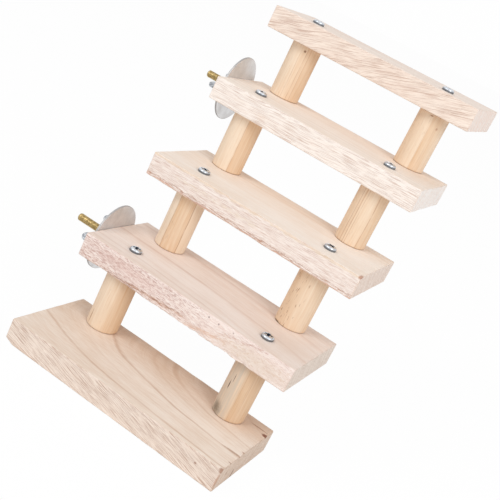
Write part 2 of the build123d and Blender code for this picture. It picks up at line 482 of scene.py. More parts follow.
@dataclass(frozen=True, kw_only=True)
class BoardWood(Wood):
    """Sawn softwood of one board: planed top, rougher sawn edges and pale end grain."""

    growth: Growth
    lines: tuple[Line, ...]
    top_pale: Colour
    top_deep: Colour
    line: Colour
    front_pale: Colour
    front_deep: Colour
    dash: Colour
    end_pale: Colour
    end_deep: Colour
    # How far the planed top darkens towards its back edge: painted shade under the next board's
    # overhang.
    back_shade: float = 0.5
    front_slope: float = 0.0
    front_contrast: float = 0.5
    dash_share: float = 0.5
    dash_length: float = 1.0
    ripple: float = 0.0
    mottle: float = 0.0
    mottle_end: float = 0.0
    end_bands: float = 0.5
    scars: tuple[Scar, ...] = ()

    def planed(self, graph: Graph, place: Place) -> Place:
        """Colour of the planed faces.

        Args:
            graph: the material's graph.
            place: the point in millimetres from the board's centre.

        Returns:
            The colour, the growth lines' mask, and the fine fibres.
        """
        x, y, z = place
        seed = self.seed
        wander = (graph.noise(x * 0.02, y * 0.04, z * 0.04 + seed, 1.0) - 0.5) * 4.0
        shiver = (graph.noise(x * 0.12, y * 0.35, z * 0.35 + seed) - 0.5) * 0.9
        ring = self.growth.rings(x, y, z) + wander + shiver
        low = min(line[0] for line in self.lines) - 20.0
        high = max(line[0] for line in self.lines) + 20.0
        share = (ring - low) / (high - low)
        drawn = graph.ramp(line_stops(self.lines, low, high), share)
        fade = graph.noise(x * 0.03, ring * 0.15, z * 0.1 + seed * 2).smooth(0.2, 0.7)
        lines = drawn * (0.5 + 0.6 * fade)
        broad = graph.noise(x * 0.008, ring * 0.16, z * 0.05 + seed, 2.0).smooth(0.3, 0.7)
        vein = graph.noise(x * 0.03, ring * 0.7, z * 0.5 + seed, 2.0, 0.6)
        fleck = graph.noise(x * 0.14, y * 1.3, z * 1.3 + seed, 2.0, 0.6)
        fibre = graph.noise(x * 0.05, ring * 3.2, z * 2.0 + seed, 2.0, 0.65)
        cloud = graph.noise(x * 0.025, y * 0.05, z * 0.05 + seed * 3, 2.0).smooth(0.35, 0.68)
        # Painted shade: the top darkens towards its back edge, under the next board.
        back = y.smooth(-12.0, 34.0) * self.back_shade
        deep = 0.25 * broad + 0.25 * cloud + back + (vein - 0.5) * 0.6
        deep = deep + (fleck - 0.5) * 1.0 + (fibre - 0.5) * 0.5
        colour = graph.mix(deep, self.top_pale, self.top_deep)
        colour = graph.mix(lines, colour, self.line)
        return colour, lines, fibre * 0.5 + fleck * 0.5

    def sawn(self, graph: Graph, place: Place) -> tuple[Wire, Wire]:
        """Colour of the sawn long edges.

        Args:
            graph: the material's graph.
            place: the point in millimetres from the board's centre.

        Returns:
            The colour, and the height of the torn fibres.
        """
        x, y, z = place
        seed = self.seed
        wave = (graph.noise(x * 0.03, z * 0.12, y * 0.05 + seed, 1.0) - 0.5) * 3.0
        across = z - self.front_slope * x + wave
        if self.ripple:
            reach = x.smooth(15.0, 45.0) * self.ripple
            across = across + reach * (graph.noise(x * 0.55, z * 0.3, seed, 1.0) - 0.5)
        broad = graph.noise(x * 0.015, across * 0.22, seed + y * 0.02, 2.0)
        streak = graph.noise(x * 0.05, across * 1.0, seed * 1.7 + y * 0.05, 2.0, 0.6)
        fine = graph.noise(x * 0.17, across * 2.5, seed * 2.3 + y * 0.1, 2.0, 0.6)
        hair = graph.noise(x * 0.45, across * 5.0, seed * 2.9 + y * 0.1, 2.0, 0.6)
        spread = graph.noise(x * 0.035, z * 0.1, seed * 4 + y * 0.02, 1.0)
        run = 0.16 / self.dash_length
        dashes = graph.noise(x * run, across * 3.0, seed * 3.1 + y * 0.1, 0.4, 0.4)
        dashes = dashes.smooth(0.58, 0.66) * spread.smooth(0.25, 0.45)
        nicks = graph.noise(x * run * 1.8, across * 3.8, seed * 5.3 + y * 0.1, 0.4, 0.4)
        dashes = dashes.at_least(nicks.smooth(0.6, 0.7) * 0.7)
        if self.ripple:
            dashes = dashes * x.smooth(30.0, 10.0).at_least(0.45)
        contrast = self.front_contrast
        deep = 0.4 + (broad - 0.5) * 1.3 * contrast + (streak - 0.5) * 1.9 * contrast
        deep = deep + (fine - 0.5) * 3.0 * contrast + (hair - 0.5) * 1.4 * contrast
        colour = graph.mix(deep, self.front_pale, self.front_deep)
        colour = graph.mix(dashes * self.dash_share, colour, self.dash)
        if self.mottle:
            tuft = graph.noise(x * 0.34, z * 1.25 + x * 0.06, seed * 6 + y * 0.1, 3.0, 0.68)
            held = x.smooth(self.mottle_end + 24.0, self.mottle_end - 14.0) * self.mottle
            dark = tuft.smooth(0.5, 0.66) * held
            colour = graph.mix(dark, colour, self.dash)
            dashes = dashes.at_least(dark)
        if self.ripple:
            curl = graph.noise(x * 0.42, z * 0.75, seed * 8, 2.0, 0.62).smooth(0.54, 0.66)
            curl = curl * x.smooth(16.0, 34.0) * z.smooth(6.0, 1.0) * 0.5
            colour = graph.mix(curl, colour, TAN_CURL)
        pale = streak.smooth(0.56, 0.74) * fine.smooth(0.45, 0.65) * 0.5
        colour = graph.mix(pale, colour, PALE_FIBRE)
        height = streak * 0.3 + fine * 0.45 + hair * 0.25 - dashes * 0.4
        for scar in self.scars:
            middle = scar.z_from + (x - scar.x_from) * (
                (scar.z_to - scar.z_from) / (scar.x_to - scar.x_from)
            )
            off = z - middle
            ragged = (graph.noise(x * 0.2, z * 0.4, seed + scar.z_from, 3.0, 0.65) - 0.5) * 3.4
            swell = graph.noise(x * 0.09, scar.z_to, seed * 7, 1.0) * 1.4
            gap = abs(off + ragged * min(1.0, scar.width)) / swell
            reach = x.smooth(scar.x_from, scar.x_from + 8.0) * x.smooth(scar.x_to, scar.x_to - 8.0)
            hairs = graph.noise(x * 0.2, off * 2.0, seed * 5 + scar.x_from, 2.0, 0.65)
            held = hairs.smooth(0.16 + 0.3 * scar.patchy, 0.36 + 0.22 * scar.patchy)
            mask = gap.smooth(scar.width, scar.width * 0.2) * reach * held * scar.strength
            colour = graph.mix(mask, colour, scar.colour)
            height = height - mask * 0.8
        return colour, height

    def sawn_end(self, graph: Graph, place: Place, lines: Wire) -> Wire:
        """Colour of the end grain.

        Args:
            graph: the material's graph.
            place: the point in millimetres from the board's centre.
            lines: the growth lines' mask, which runs through the board.

        Returns:
            The colour.
        """
        x, y, z = place
        ring = self.growth.rings(x, y, z)
        band = graph.noise(ring * 0.42, z * 0.02, self.seed, 2.0, 0.6).smooth(0.35, 0.65)
        pores = graph.noise(y * 2.6, z * 2.6, self.seed * 2, 2.0, 0.7)
        saw = graph.noise(y * 0.12 - z * 0.04, z * 0.9 + y * 0.34, self.seed * 4, 3.0, 0.65)
        scratch = graph.noise(y * 0.3, z * 2.2 + y * 0.8, self.seed * 5, 2.0, 0.6)
        deep = 0.12 + band * self.end_bands + lines * 0.5 + (pores - 0.5) * 0.8
        deep = deep + (saw - 0.5) * 1.5 + (scratch - 0.5) * 0.8
        return graph.mix(deep, self.end_pale, self.end_deep)

    def material(self, name: str, low: np.ndarray, high: np.ndarray) -> bpy.types.Material:
        """Makes the board's material.

        Args:
            name: the material's name.
            low: the board's lowest corner, mm.
            high: the board's highest corner, mm.

        Returns:
            The material.
        """
        made, graph = new_material(name)
        half = (high - low) / 2
        place = graph.place((low + high) / 2)
        x, y, z = place
        turn_x, turn_y, _ = graph.facing()
        planed, lines, fibre = self.planed(graph, place)
        sawn, torn = self.sawn(graph, place)
        end = self.sawn_end(graph, place, lines)
        front = abs(turn_y).smooth(0.45, 0.8)
        cut_end = abs(turn_x).smooth(0.5, 0.8)
        colour = graph.mix(front, planed, sawn)
        colour = self.stained(graph, place, graph.mix(cut_end, colour, end))
        gaps = [limit - abs(axis) for axis, limit in zip(place, half)]
        least = gaps[0].at_most(gaps[1].at_most(gaps[2]))
        most = gaps[0].at_least(gaps[1].at_least(gaps[2]))
        to_edge = gaps[0] + gaps[1] + gaps[2] - least - most
        worn = to_edge.smooth(1.3, 0.1) * graph.noise(x * 0.3, y * 0.3, z * 0.3).smooth(0.35, 0.7)
        colour = graph.mix(worn * 0.28, colour, self.line)
        pores = graph.noise(y * 4.0, z * 4.0, x * 0.3 + self.seed, 2.0, 0.7)
        height = fibre * (1 - front) + torn * front * 1.8
        height = height * (1 - cut_end) + pores * cut_end * 1.4
        rough = 0.62 + fibre * 0.16 + front * 0.06
        normal = graph.bump(height, 0.16, 0.55)
        graph.surface(self.shader(graph, colour, rough, normal))
        return made


@dataclass(frozen=True, kw_only=True)
class DowelWood(Wood):
    """Pine rod: flat growth layers run up the rod, each told by its place across the rod.

    A band is a place from the axis in mm with its depth of colour from 0 to 1. The places run
    across the rod in the direction that heart gives, in degrees from the row frame's -Y axis.
    """

    bands: tuple[tuple[float, float], ...]
    lines: tuple[Line, ...] = ()
    heart: float = 108.0
    bulge: float = 0.004
    pale: Colour = srgb(246, 226, 203)
    deep: Colour = srgb(226, 188, 149)
    line: Colour = srgb(172, 118, 74)
    flecks: float = 0.15
    grey: float = 0.0
    reach: float = 12.0

    def material(self, name: str, low: np.ndarray, high: np.ndarray) -> bpy.types.Material:
        """Makes the dowel's material.

        Args:
            name: the material's name.
            low: the dowel's lowest corner, mm.
            high: the dowel's highest corner, mm.

        Returns:
            The material.
        """
        made, graph = new_material(name)
        place = graph.place((low + high) / 2)
        x, y, z = place
        _, _, turn_z = graph.facing()
        seed = self.seed
        aim = math.radians(self.heart)
        reach = self.reach
        wander = (graph.noise(x * 0.1, y * 0.1, z * 0.05 + seed, 1.0) - 0.5) * 0.9
        along = x * math.sin(aim) - y * math.cos(aim)
        beside = x * math.cos(aim) + y * math.sin(aim)
        ring = along + beside * beside * self.bulge + wander
        share = (ring + reach) / (2 * reach)
        tones = [((place_mm + reach) / (2 * reach), grey(tone)) for place_mm, tone in self.bands]
        late = graph.ramp(tones, share)
        streak = graph.noise(x * 0.9, y * 0.9, z * 0.03 + seed, 2.0, 0.6)
        fine = graph.noise(x * 2.6, y * 2.6, z * 0.1 + seed, 2.0, 0.6)
        deep = late * 0.9 + (streak - 0.5) * 1.0 + (fine - 0.5) * 0.55
        colour = graph.mix(deep, self.pale, self.deep)
        if self.lines:
            drawn = graph.ramp(line_stops(self.lines, -reach, reach), share)
            broken = graph.noise(x * 0.3, y * 0.3, z * 0.12 + seed * 2).smooth(0.2, 0.55)
            colour = graph.mix(drawn * broken, colour, self.line)
        dots = graph.noise(x * 2.2, y * 2.2, z * 0.24 + seed * 2, 1.0, 0.3).smooth(0.66, 0.73)
        dots = dots * along.smooth(1.5, -1.5)
        colour = graph.mix(dots * self.flecks, colour, RESIN_FLECK)
        if self.grey:
            side = along.smooth(1.0, -4.5) * streak.smooth(0.2, 0.6)
            colour = graph.mix(side * self.grey, colour, OLD_DUST)
        colour = self.stained(graph, place, colour)
        end = (high[2] - low[2]) / 2
        colour = graph.mix(abs(z).smooth(end - 0.9, end - 0.1) * 0.6, colour, FOOT_SHADE)
        cut = abs(turn_z).smooth(0.5, 0.8)
        pores = graph.noise(x * 3.0, y * 3.0, seed, 2.0, 0.7)
        colour = graph.mix(cut * pores, colour, self.line)
        rough = 0.52 + streak * 0.2
        normal = graph.bump(fine * 0.5 + streak * 0.5, 0.12, 0.5)
        graph.surface(self.shader(graph, colour, rough, normal))
        return made


# --- Metal finishes ---


@dataclass(frozen=True)
class Metal:
    """A plated or bare metal, with mottled plating and darker hollows."""

    bright: Colour
    dull: Colour
    hollow: Colour
    rough: float
    mottle: float = 1.2
    grain: float = 0.02

    def material(
        self, name: str, hollows: Callable[[Graph], Wire] | None = None
    ) -> bpy.types.Material:
        """Makes the metal's material.

        Args:
            name: the material's name.
            hollows: gives the mask of the darker marks: painted shade and dark reflection, and
                scuffs.

        Returns:
            The material.
        """
        made, graph = new_material(name)
        x, y, z = graph.place((0.0, 0.0, 0.0))
        rate = self.mottle
        cloud = graph.noise(x * rate, y * rate, z * rate, 3.0, 0.6).smooth(0.3, 0.7)
        speck = graph.noise(x * 6.0, y * 6.0, z * 6.0, 2.0, 0.7)
        colour = graph.mix(cloud, self.bright, self.dull)
        rough = self.rough + cloud * 0.1 + (speck - 0.5) * 0.12
        if hollows is not None:
            # Painted shade: the mask pulls the colour towards the hollow colour, with scuffs on the
            # washers.
            shade = hollows(graph)
            colour = graph.mix(shade, colour, self.hollow)
            rough = rough + shade * 0.25
        normal = graph.bump(speck, self.grain, 0.5)
        inputs = {"Base Color": colour, "Roughness": rough, "Normal": normal, "Metallic": 1.0}
        graph.surface(graph.node("ShaderNodeBsdfPrincipled", {}, inputs))
        return made


# ZINC's hollow colour is painted shade in the screws' recesses and a painted dark reflection on
# their heads.
ZINC = Metal(srgb(238, 241, 245), srgb(198, 205, 214), srgb(30, 34, 44), 0.24)
# BRASS's hollow colour is painted shade in the stud's thread roots.
BRASS = Metal(srgb(208, 184, 132), srgb(162, 140, 92), srgb(116, 98, 54), 0.28, 0.6)
STEEL = Metal(srgb(228, 228, 229), srgb(216, 215, 215), srgb(126, 120, 116), 0.42, 0.12)
# CAST's hollow colour is painted shade in the wing nut's bore.
CAST = Metal(srgb(206, 209, 213), srgb(134, 138, 144), srgb(60, 62, 66), 0.34, 0.7)


# --- Meshes ---


def box_mm(node: str) -> tuple[np.ndarray, np.ndarray]:
    """Lowest and highest corners of a CAD node, in millimetres."""
    low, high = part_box(node)
    return np.array(low) / MM, np.array(high) / MM


def make_piece(
    name: str, points: np.ndarray, faces: Sequence[Sequence[int]], smooth: bool = True
) -> bpy.types.Object:
    """Makes a mesh object from points in millimetres.

    Args:
        name: the object's name.
        points: the points, one row each.
        faces: the points' numbers round each face.
        smooth: whether the faces are shaded smooth.

    Returns:
        The object, at the origin.
    """
    mesh = bpy.data.meshes.new(name)
    mesh.from_pydata((np.asarray(points) * MM).tolist(), [], [list(map(int, f)) for f in faces])
    mesh.validate()
    mesh.shade_smooth() if smooth else mesh.shade_flat()
    made = bpy.data.objects.new(name, mesh)
    bpy.context.scene.collection.objects.link(made)
    return made


def dress(
    piece: bpy.types.Object, node: str, material: bpy.types.Material,
    body: str = "steps",
) -> None:
    """Gives a piece its finish and ties it to the part.

    Args:
        piece: the piece.
        node: the CAD node it stands for.
        material: its material.
        body: the CAD body it rides on.
    """
    piece.data.materials.clear()
    piece.data.materials.append(material)
    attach(piece, body)
    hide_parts(node)
    LOG.info("%s: %d faces", piece.name, len(piece.data.polygons))


def settle(piece: bpy.types.Object) -> None:
    """Applies a piece's modifiers to its mesh."""
    bpy.context.view_layer.update()
    ready = piece.evaluated_get(bpy.context.evaluated_depsgraph_get())
    mesh = bpy.data.meshes.new_from_object(ready)
    piece.modifiers.clear()
    piece.data = mesh


def cut_away(piece: bpy.types.Object, cutter: bpy.types.Object) -> None:
    """Cuts one solid out of another and removes the cutter.

    Args:
        piece: the solid that stays.
        cutter: the solid that is taken out of it.
    """
    step = piece.modifiers.new("cut", "BOOLEAN")
    step.operation = "DIFFERENCE"
    step.solver = "EXACT"
    step.object = cutter
    settle(piece)
    bpy.data.objects.remove(cutter)


def crisp(piece: bpy.types.Object, degrees: float = 32.0) -> None:
    """Shades a piece smooth, with sharp edges where faces meet at more than an angle.

    Args:
        piece: the piece.
        degrees: the angle.
    """
    shape = bmesh.new()
    shape.from_mesh(piece.data)
    for edge in shape.edges:
        edge.smooth = not edge.is_manifold or edge.calc_face_angle(0.0) < math.radians(degrees)
    for face in shape.faces:
        face.smooth = True
    shape.to_mesh(piece.data)
    shape.free()


def revolve(
    rows: Sequence[tuple[float, float, float]], segments: int, pitch: float = 1.0,
    ring: bool = False,
) -> tuple[np.ndarray, Faces]:
    """Turns a profile about the Z axis, with a thread cut where a row asks for one.

    Args:
        rows: radius, height and thread depth of each row. Without a ring the ends are closed.
        segments: faces round the axis.
        pitch: the thread's pitch.
        ring: whether the last row joins the first, round a bore.

    Returns:
        The points in millimetres, and the faces.
    """
    table = np.array(rows, float)
    angles = np.arange(segments) * 2 * math.pi / segments
    radius, height, depth = (table[:, k][:, None] for k in range(3))
    turn = (height / pitch - angles[None, :] / (2 * math.pi)) % 1.0
    groove = np.clip(1.25 - np.abs(turn * 2 - 1) * 1.6, 0.0, 1.0)
    reach = radius - depth * groove
    grid = np.stack([reach * np.cos(angles), reach * np.sin(angles), height + 0 * reach], -1)
    points = grid.reshape(-1, 3)
    count = len(rows)
    faces = []
    for row in range(count if ring else count - 1):
        start, after = row * segments, ((row + 1) % count) * segments
        for k in range(segments):
            turn_on = (k + 1) % segments
            faces.append([start + k, start + turn_on, after + turn_on, after + k])
    if not ring:
        faces.append(list(range(segments))[::-1])
        faces.append([(count - 1) * segments + k for k in range(segments)])
    return points, faces


def moved(points: np.ndarray, matrix: Matrix) -> np.ndarray:
    """Points in millimetres, moved by a matrix."""
    table = np.array(matrix)
    return points @ table[:3, :3].T + table[:3, 3]


def block(xs: np.ndarray, ys: np.ndarray, zs: np.ndarray) -> tuple[np.ndarray, Faces]:
    """The skin of a block, divided at these places.

    Args:
        xs: places along X.
        ys: places along Y.
        zs: places along Z.

    Returns:
        The points, and the faces, which look outwards.
    """
    shape = (len(xs), len(ys), len(zs))
    skin = np.ones(shape, bool)
    skin[1:-1, 1:-1, 1:-1] = False
    number = np.full(shape, -1)
    number[skin] = np.arange(skin.sum())
    points = np.stack(np.meshgrid(xs, ys, zs, indexing="ij"), -1)[skin]
    faces = []
    for axis in range(3):
        for side in (0, -1):
            sheet = np.take(number, side, axis)
            quads = np.stack([sheet[:-1, :-1], sheet[1:, :-1], sheet[1:, 1:], sheet[:-1, 1:]], -1)
            quads = quads.reshape(-1, 4)
            faces.append(quads[:, ::-1] if (side == 0) != (axis == 1) else quads)
    return points, np.concatenate(faces).tolist()


def divide(half: float, coarse: float, fine: float, band: float) -> np.ndarray:
    """Places from -half to half, close together near both ends.

    Args:
        half: half the length.
        coarse: step in the middle.
        fine: step near the ends.
        band: how far the fine steps reach in.

    Returns:
        The places in order.
    """
    middle = np.linspace(band - half, half - band, max(2, round(2 * (half - band) / coarse)))
    side = np.arange(0.0, band - fine / 2, fine)
    return np.concatenate([side - half, middle, (half - side)[::-1]])


def grain_noise(points: np.ndarray, scale: Point, seed: float) -> np.ndarray:
    """Smooth noise from -1 to 1 at each point.

    Args:
        points: the points, one row each.
        scale: cycles per millimetre along X, Y and Z.
        seed: shifts the field.

    Returns:
        One value for each point.
    """
    table = points * np.array(scale) + seed
    return np.array([noise.noise(row) for row in table.tolist()])


# --- Pieces ---


@dataclass(frozen=True)
class Tear:
    """A stretch of a board's lower front edge where the saw tore out fibres, mm from its centre."""

    x_from: float
    x_to: float
    depth: float
    reach: float = 2.6


@dataclass(frozen=True)
class Chip:
    """A corner broken off along a plane, mm from the board's centre."""

    outward: Point
    past: Point


@dataclass
class Board:
    """One board: a sawn block with softened edges, saw marks, chips and torn fibres."""

    node: str
    wood: BoardWood
    round_edge: float = 0.75
    step_along: float = 1.1
    step_across: float = 1.8
    tears: tuple[Tear, ...] = ()
    chips: tuple[Chip, ...] = ()
    sinks: tuple[str, ...] = ()
    sink_radius: float = 4.6
    step_up: float = 1.2
    step_fine: float = 0.22
    end_band: float = 1.3
    side_band: float = 2.8
    saw_depth: float = 0.16
    pit_depth: float = 0.14
    skin_band: float = 0.3

    def rounded(self, points: np.ndarray, half: np.ndarray) -> np.ndarray:
        """Softens the block's edges by an uneven radius.

        Args:
            points: points on the sharp block, from its centre.
            half: half the block's size.

        Returns:
            The moved points.
        """
        seed = self.wood.seed
        uneven = grain_noise(points, (0.11, 0.11, 0.11), seed)
        radius = (self.round_edge * (1.0 + 0.45 * uneven))[:, None]
        core = np.clip(points, radius - half, half - radius)
        gap = points - core
        length = np.linalg.norm(gap, axis=1, keepdims=True)
        return core + gap * np.where(length > 1e-6, radius / np.maximum(length, 1e-6), 0.0)

    def worn(self, points: np.ndarray, half: np.ndarray) -> np.ndarray:
        """Adds saw marks, torn fibres and chips, always inwards.

        Args:
            points: points from the block's centre.
            half: half the block's size.

        Returns:
            The moved points.
        """
        seed = self.wood.seed
        moved_points = points.copy()
        x, y, z = points.T
        saw = 0.5 + 0.5 * grain_noise(points, (0.16, 0.3, 1.5), seed + 7)
        front = np.clip(1 - (y + half[1]) / self.skin_band, 0, 1)
        moved_points[:, 1] += self.saw_depth * saw * front
        pitted = 0.5 + 0.5 * grain_noise(points, (0.3, 0.8, 0.8), seed + 11)
        for sign in (-1, 1):
            at_end = np.clip(1 - (half[0] - sign * x) / self.skin_band, 0, 1)
            moved_points[:, 0] -= sign * self.pit_depth * pitted * at_end
        for tear in self.tears:
            along = np.clip((x - tear.x_from) / 5, 0, 1) * np.clip((tear.x_to - x) / 5, 0, 1)
            to_edge = np.hypot(y + half[1], z + half[2])
            hairs = grain_noise(points, (0.11, 0.7, 0.7), seed + 3)
            splinter = grain_noise(points, (0.36, 1.4, 1.4), seed + 5)
            bite = np.clip(0.45 + 0.75 * hairs + 0.45 * splinter, 0, 1.2)
            inward = tear.depth * bite * along * np.clip(1 - to_edge / tear.reach, 0, 1)
            moved_points[:, 1] += inward * 0.6
            moved_points[:, 2] += inward * 0.8
        for chip in self.chips:
            outward = np.array(chip.outward) / np.linalg.norm(chip.outward)
            ragged = 0.25 * grain_noise(points, (0.5, 0.5, 0.5), seed + 9)
            over = (moved_points - np.array(chip.past)) @ outward + ragged
            moved_points -= np.clip(over, 0, None)[:, None] * outward
        return moved_points

    def build(self) -> None:
        """Builds the board and dresses it."""
        low, high = box_mm(self.node)
        half = (high - low) / 2
        fine = self.step_fine
        xs = divide(half[0], self.step_along, fine, self.end_band)
        ys = divide(half[1], self.step_across, fine, self.side_band)
        zs = divide(half[2], self.step_up, fine, self.side_band)
        points, faces = block(xs, ys, zs)
        points = self.worn(self.rounded(points, half), half) + (low + high) / 2
        piece = make_piece(f"{self.node}_wood", points, faces)
        for screw in self.sinks:
            self.sink(piece, screw, low[2])
        crisp(piece, 55.0)
        grain = self.wood.material(f"{self.node}_grain", low, high)
        dress(piece, self.node, grain)

    def sink(self, piece: bpy.types.Object, screw: str, floor: float) -> None:
        """Bores the hollow that takes a screw's head under the board.

        Args:
            piece: the board.
            screw: the CAD node of the screw.
            floor: height of the board's underside, mm.
        """
        low, high = box_mm(screw)
        centre = (low + high) / 2
        depth = low[2] - floor + Screw.head_height
        rows = [(self.sink_radius, height, 0.0) for height in (-2.0, depth)]
        rows.insert(1, (self.sink_radius + 0.15, -0.1, 0.0))
        points, faces = revolve(rows, 48)
        place = Matrix.Translation((centre[0], centre[1], floor))
        cut_away(piece, make_piece("sink_cutter", moved(points, place), faces))


@dataclass
class Dowel:
    """One round dowel: turned rod with a slightly uneven surface and broken end edges."""

    node: str
    wood: DowelWood
    end_bevel: float = 0.45
    segments: int = 96
    rows: int = 34
    unevenness: float = 0.07

    def build(self) -> None:
        """Builds the dowel and dresses it."""
        low, high = box_mm(self.node)
        centre = (low + high) / 2
        radius = (high[0] - low[0]) / 2
        length = high[2] - low[2]
        bevel = self.end_bevel
        rows = [(radius - bevel, 0.0, 0.0), (radius - bevel * 0.3, bevel * 0.3, 0.0)]
        rows += [(radius, h, 0.0) for h in np.linspace(bevel, length - bevel, self.rows)]
        rows += [(radius - bevel * 0.3, length - bevel * 0.3, 0.0), (radius - bevel, length, 0.0)]
        points, faces = revolve(rows, self.segments)
        flat = points * np.array((1.0, 1.0, 0.0))
        shrink = grain_noise(points, (0.22, 0.22, 0.015), self.wood.seed)
        fibre = grain_noise(points, (0.9, 0.9, 0.05), self.wood.seed + 3)
        inward = self.unevenness * (1 + 0.7 * shrink + 0.3 * fibre)
        points = points - flat / np.linalg.norm(flat, axis=1)[:, None] * inward[:, None]
        place = Matrix.Translation((centre[0], centre[1], low[2]))
        piece = make_piece(f"{self.node}_rod", moved(points, place), faces)
        crisp(piece, 40.0)
        grain = self.wood.material(f"{self.node}_grain", low, high)
        dress(piece, self.node, grain)


@dataclass
class Screw:
    """One pan-head screw with a tapered cross recess and a rolled wood thread."""

    node: str
    turn: float
    head_height: float = 2.6
    head_radius: float = 4.0
    head_wall: float = 0.9
    dome_power: float = 3.0
    shank_radius: float = 1.8
    thread_depth: float = 0.45
    thread_pitch: float = 1.5
    point_length: float = 5.0
    recess_reach: float = 2.7
    recess_half_width: float = 0.82
    recess_floor: float = 0.8
    recess_taper: float = 0.62
    segments: int = 40
    rows_per_turn: int = 7
    dome_rows: int = 12

    def profile(self, length: float) -> list[tuple[float, float, float]]:
        """Rows from the point up to the crown, with the head's seat at height 0.

        Args:
            length: length under the head, mm.

        Returns:
            Radius, height and thread depth of each row.
        """
        rows = [(0.05, -length, 0.0)]
        steps = int(length / self.thread_pitch * self.rows_per_turn)
        for height in np.linspace(-length, -1.5, steps)[1:]:
            share = min(1.0, (height + length) / self.point_length)
            rows.append((self.shank_radius * share, height, self.thread_depth * share))
        rows += [(self.shank_radius, -0.6, 0.0), (self.shank_radius, 0.0, 0.0)]
        rows += [(self.head_radius - 0.25, 0.0, 0.0), (self.head_radius, 0.2, 0.0)]
        rise = self.head_height - self.head_wall
        power = 2 / self.dome_power
        for step in range(self.dome_rows + 1):
            angle = step / self.dome_rows * math.pi / 2
            radius = max(0.05, self.head_radius * max(math.cos(angle), 0.0) ** power)
            rows.append((radius, self.head_wall + rise * math.sin(angle) ** power, 0.0))
        return rows

    def recess(self) -> bpy.types.Object:
        """The cutter of the cross recess: a cross that narrows towards a point.

        Returns:
            The cutter, on the Z axis above the head's seat.
        """
        rings = [(self.head_height + 0.5, 1.12), (self.recess_floor + 0.35, self.recess_taper)]
        points, faces = [], []
        for height, share in rings:
            reach, half = self.recess_reach * share, self.recess_half_width * share ** 0.5
            for quarter in range(4):
                turn = Matrix.Rotation(quarter * math.pi / 2, 3, "Z")
                for corner in ((reach, -half), (reach, half), (half, half)):
                    points.append(tuple(turn @ Vector((*corner, height))))
        points.append((0.0, 0.0, self.recess_floor - 0.35))
        for k in range(12):
            after = (k + 1) % 12
            faces.append([k, 12 + k, 12 + after, after])
            faces.append([12 + k, 24, 12 + after])
        faces.append(list(range(12)))
        return make_piece("recess_cutter", np.array(points), faces, smooth=False)

    def build(self) -> None:
        """Builds the screw and dresses it."""
        low, high = box_mm(self.node)
        down = self.node.startswith("under")
        seat = low[2] + self.head_height if down else high[2] - self.head_height
        centre = (low + high) / 2
        length = high[2] - low[2] - self.head_height
        points, faces = revolve(self.profile(length), self.segments, self.thread_pitch)
        piece = make_piece(f"{self.node}_metal", points, faces)
        recess = self.recess()
        bpy.context.view_layer.update()
        cut_away(piece, recess)
        flip = Matrix.Rotation(math.pi if down else 0.0, 4, "X")
        place = Matrix.Translation((centre[0] * MM, centre[1] * MM, seat * MM))
        piece.data.transform(place @ flip @ Matrix.Rotation(math.radians(self.turn), 4, "Z"))
        crisp(piece, 30.0)
        sign = -1.0 if down else 1.0

        def hollows(graph: Graph) -> Wire:
            """Painted shade in the recess and at the foot of the head's wall, and a painted dark
            reflection on the dome's shoulder.
            """
            x, y, z = graph.place((centre[0], centre[1], seat))
            radius = (x * x + y * y).root()
            turn_z = graph.facing()[2] * sign
            # Painted shade in the cross recess.
            deep = (z * sign).smooth(self.head_height - 0.16, self.head_height - 0.4)
            inside = radius.smooth(self.recess_reach + 0.35, self.recess_reach + 0.15) * deep
            # Painted shade at the foot of the head's side wall.
            wall = turn_z.smooth(0.62, 0.2) * (z * sign).smooth(1.7, 0.9)
            # Painted dark reflection on the shoulder of the dome.
            shoulder = turn_z.smooth(0.93, 0.6) * radius.smooth(2.9, 3.5)
            return (inside * 0.97).at_least(wall * 0.74).at_least(shoulder * 0.26)

        dress(piece, self.node, ZINC.material(f"{self.node}_zinc", hollows))


class ClampPlace(Enum):
    """The two clamps, with the turn of their wing nuts in degrees."""

    LOWER = ("lower", 33.0)
    UPPER = ("upper", 21.0)


# Stands a shape's Z axis out along -X, the way the studs point.
OUTWARDS = Matrix(((0, 0, -1, 0), (1, 0, 0, 0), (0, -1, 0, 0), (0, 0, 0, 1)))


